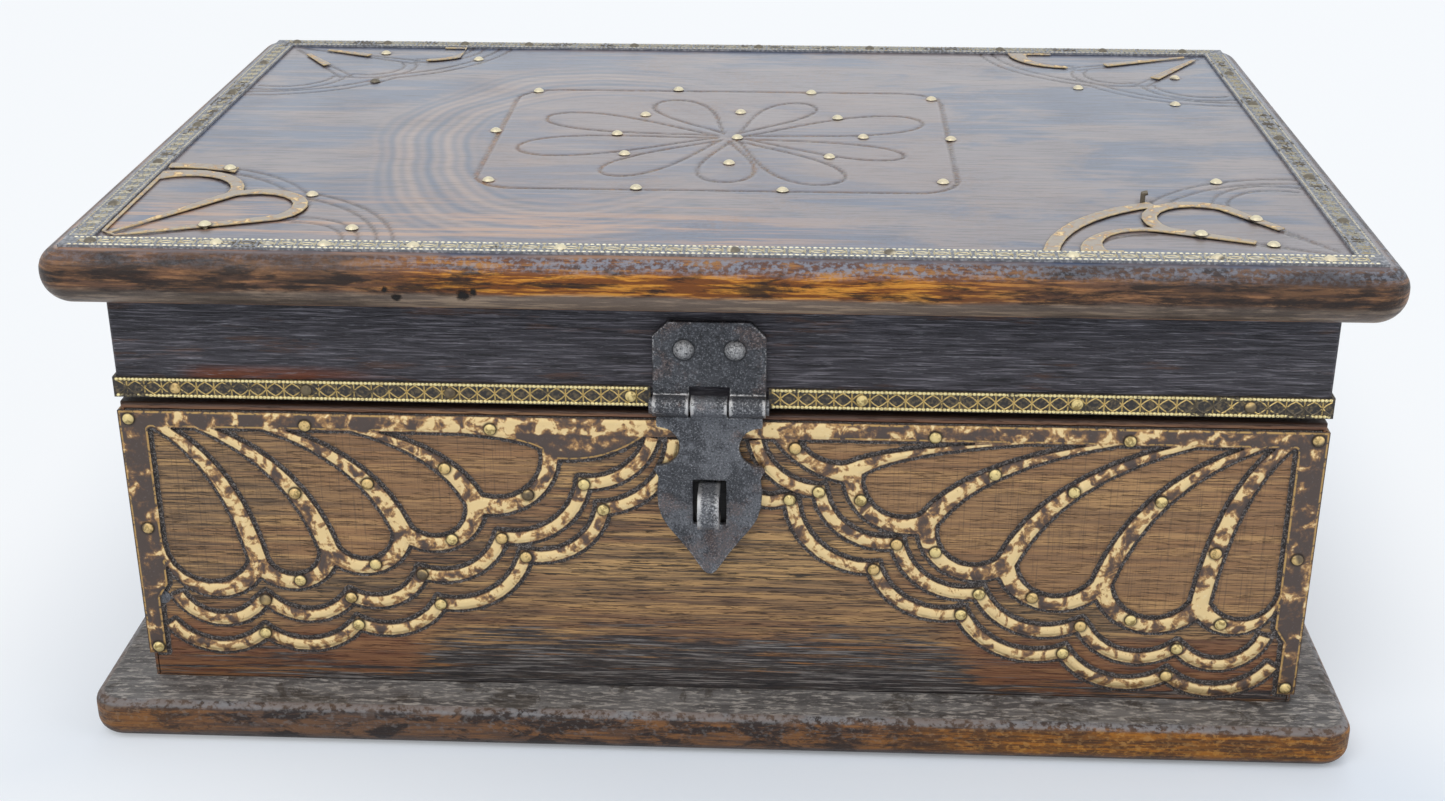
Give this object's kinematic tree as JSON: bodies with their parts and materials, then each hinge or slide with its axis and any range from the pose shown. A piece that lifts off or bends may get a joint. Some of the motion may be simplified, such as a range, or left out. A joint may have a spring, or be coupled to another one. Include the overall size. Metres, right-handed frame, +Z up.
{
  "type": "jewelry box",
  "caption": "Wooden jewelry box with a hinged overhanging lid, moulded base, pierced brass corner fans held by pins, and an iron hasp that drops over a staple.",
  "frame": {"origin": "middle of the base board's underside", "axes": "+X to the box's right seen from the front, +Y to the back, +Z up"},
  "size_m": [0.256, 0.174, 0.1074],
  "materials": {
    "base_wood": "worn orange-brown wood, darker on the edge",
    "wall_wood": "oiled mid-brown hardwood with fine dark grain, stained",
    "rail_wood": "very dark brown wood with fine open grain",
    "lid_wood": "dark grey-brown wood, old semi-gloss varnish",
    "fan_brass": "worn sheet brass with brown patina",
    "lid_brass": "dark patinated sheet brass, bright on its raised lines",
    "rim_brass": "embossed brass band, dark in its hollows",
    "pin_brass": "domed brass pin heads, rubbed bright",
    "hasp_iron": "dark blue-grey wrought iron, lighter on its worn edges",
    "hinge_iron": "dark wrought iron",
    "rivet_iron": "rubbed iron heads",
    "nail_iron": "iron nails driven in the wood"
  },
  "bodies": {
    "box": {"base_board": "base_wood", "front_wall": "wall_wood", "back_wall": "wall_wood", "left_wall": "wall_wood", "right_wall": "wall_wood", "base_nails": "nail_iron", "wall_nails": "nail_iron", "left_fan": "fan_brass", "left_inner_band": "fan_brass", "left_outer_band": "fan_brass", "right_fan": "fan_brass", "right_inner_band": "fan_brass", "right_outer_band": "fan_brass", "fan_pins": "pin_brass", "staple": "hasp_iron", "left_hinge_box_leaf": "hinge_iron", "right_hinge_box_leaf": "hinge_iron", "left_hinge_pin": "hinge_iron", "right_hinge_pin": "hinge_iron", "hinge_box_nails": "rivet_iron"},
    "lid": {"lid_board": "lid_wood", "lid_front_rail": "rail_wood", "lid_back_rail": "rail_wood", "lid_left_rail": "rail_wood", "lid_right_rail": "rail_wood", "rail_nails": "nail_iron", "lid_strip_front": "lid_brass", "lid_strip_back": "lid_brass", "lid_strip_left": "lid_brass", "lid_strip_right": "lid_brass", "lid_fan_front_left": "lid_brass", "lid_fan_front_right": "lid_brass", "lid_fan_back_left": "lid_brass", "lid_fan_back_right": "lid_brass", "lid_pins": "pin_brass", "medallion_pins": "pin_brass", "rim_band_left": "rim_brass", "rim_band_right": "rim_brass", "rim_band_pins": "pin_brass", "hasp_plate": "hasp_iron", "hasp_rivets": "rivet_iron", "hasp_pin": "hasp_iron", "left_hinge_lid_leaf": "hinge_iron", "right_hinge_lid_leaf": "hinge_iron", "hinge_lid_nails": "rivet_iron"},
    "hasp_flap": {"hasp_flap": "hasp_iron"}
  },
  "joints": [
    {"name": "lid_hinge", "type": "hinge", "parent": "box", "child": "lid", "pos_m": [0, 0.0785, 0.0715], "axis": [-1, 0, 0], "range_deg": [0, 165]},
    {"name": "hasp_hinge", "type": "hinge", "parent": "lid", "child": "hasp_flap", "pos_m": [-0.0012, -0.0785, 0.0736], "axis": [-1, 0, 0], "range_deg": [0, 160]}
  ]
}
